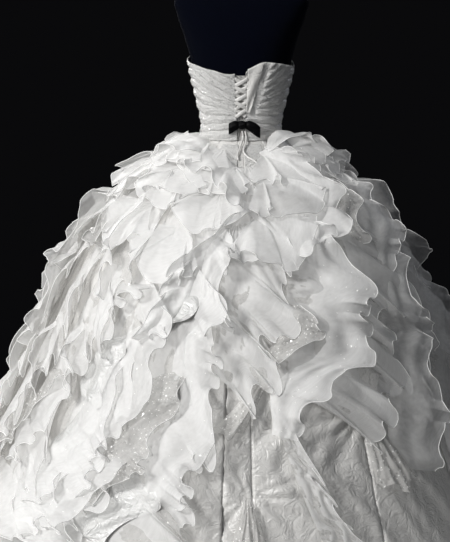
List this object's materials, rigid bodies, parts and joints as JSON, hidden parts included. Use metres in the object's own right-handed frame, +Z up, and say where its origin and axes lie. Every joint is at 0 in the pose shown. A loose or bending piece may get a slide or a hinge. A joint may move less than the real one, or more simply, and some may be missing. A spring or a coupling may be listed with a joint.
{
  "type": "ball gown on a limbless dress form",
  "caption": "Strapless ball gown with a ruched, back-laced bodice, black bow and full satin skirt covered in organza ruffle cascades, standing on a limbless dress form.",
  "frame": {"origin": "centre of the stand base's flat underside, on the floor under the dress form's axis", "axes": "+Z up; the laced back of the gown faces -Y, its front +Y; +X is to the right of someone who looks at the laced back"},
  "size_m": [1.7375, 1.7393, 1.6043],
  "materials": {
    "navy_jersey": "matt knitted jersey, stretched smooth",
    "brushed_steel": "brushed",
    "sequin_net": "ruched ivory net over satin, scattered with clear sequins",
    "glitter_tulle": "sheer white tulle with fine silver glitter",
    "ivory_satin": "ivory satin, soft sheen",
    "ivory_organza": "sheer white organza with a rolled edge",
    "black_satin": "black satin ribbon"
  },
  "bodies": {
    "root": {"form_torso": "navy_jersey", "form_neck_cap": "brushed_steel", "stand_pole": "brushed_steel", "stand_base": "brushed_steel", "bodice_front": "sequin_net", "bodice_back_left": "sequin_net", "bodice_back_right": "sequin_net", "hip_lace_left": "sequin_net", "hip_lace_right": "sequin_net", "placket": "glitter_tulle", "drape_centre": "glitter_tulle", "drape_right": "glitter_tulle", "drape_low": "glitter_tulle", "facing_right": "ivory_satin", "loops_left": "ivory_satin", "loops_right": "ivory_satin", "lace_a": "ivory_satin", "lace_b": "ivory_satin", "lace_tail_left": "ivory_satin", "lace_tail_right": "ivory_satin", "gore_01": "ivory_satin", "gore_02": "ivory_satin", "gore_03": "ivory_satin", "gore_04": "ivory_satin", "gore_05": "ivory_satin", "gore_06": "ivory_satin", "gore_07": "ivory_satin", "gore_08": "ivory_satin", "gore_09": "ivory_satin", "gore_10": "ivory_satin", "gore_11": "ivory_satin", "gore_12": "ivory_satin", "gore_13": "ivory_satin", "bow_left": "black_satin", "bow_right": "black_satin", "bow_knot": "black_satin", "cascade_01": "ivory_organza", "cascade_02": "ivory_organza", "cascade_03": "ivory_organza", "cascade_04": "ivory_organza", "cascade_05": "ivory_organza", "cascade_06": "ivory_organza", "cascade_07": "ivory_organza", "cascade_08": "ivory_organza", "cascade_09": "ivory_organza", "cascade_10": "ivory_organza", "cascade_11": "ivory_organza", "cascade_12": "ivory_organza", "cascade_13": "ivory_organza", "cascade_14": "ivory_organza", "cascade_15": "ivory_organza", "cascade_16": "ivory_organza", "cascade_17": "ivory_organza", "cascade_18": "ivory_organza", "cascade_19": "ivory_organza", "cascade_low": "ivory_organza", "hip_flounce_back_left": "ivory_organza", "hip_flounce_back_right": "ivory_organza", "hip_flounce_front_right": "ivory_organza", "hip_flounce_front_left": "ivory_organza"}
  },
  "joints": []
}
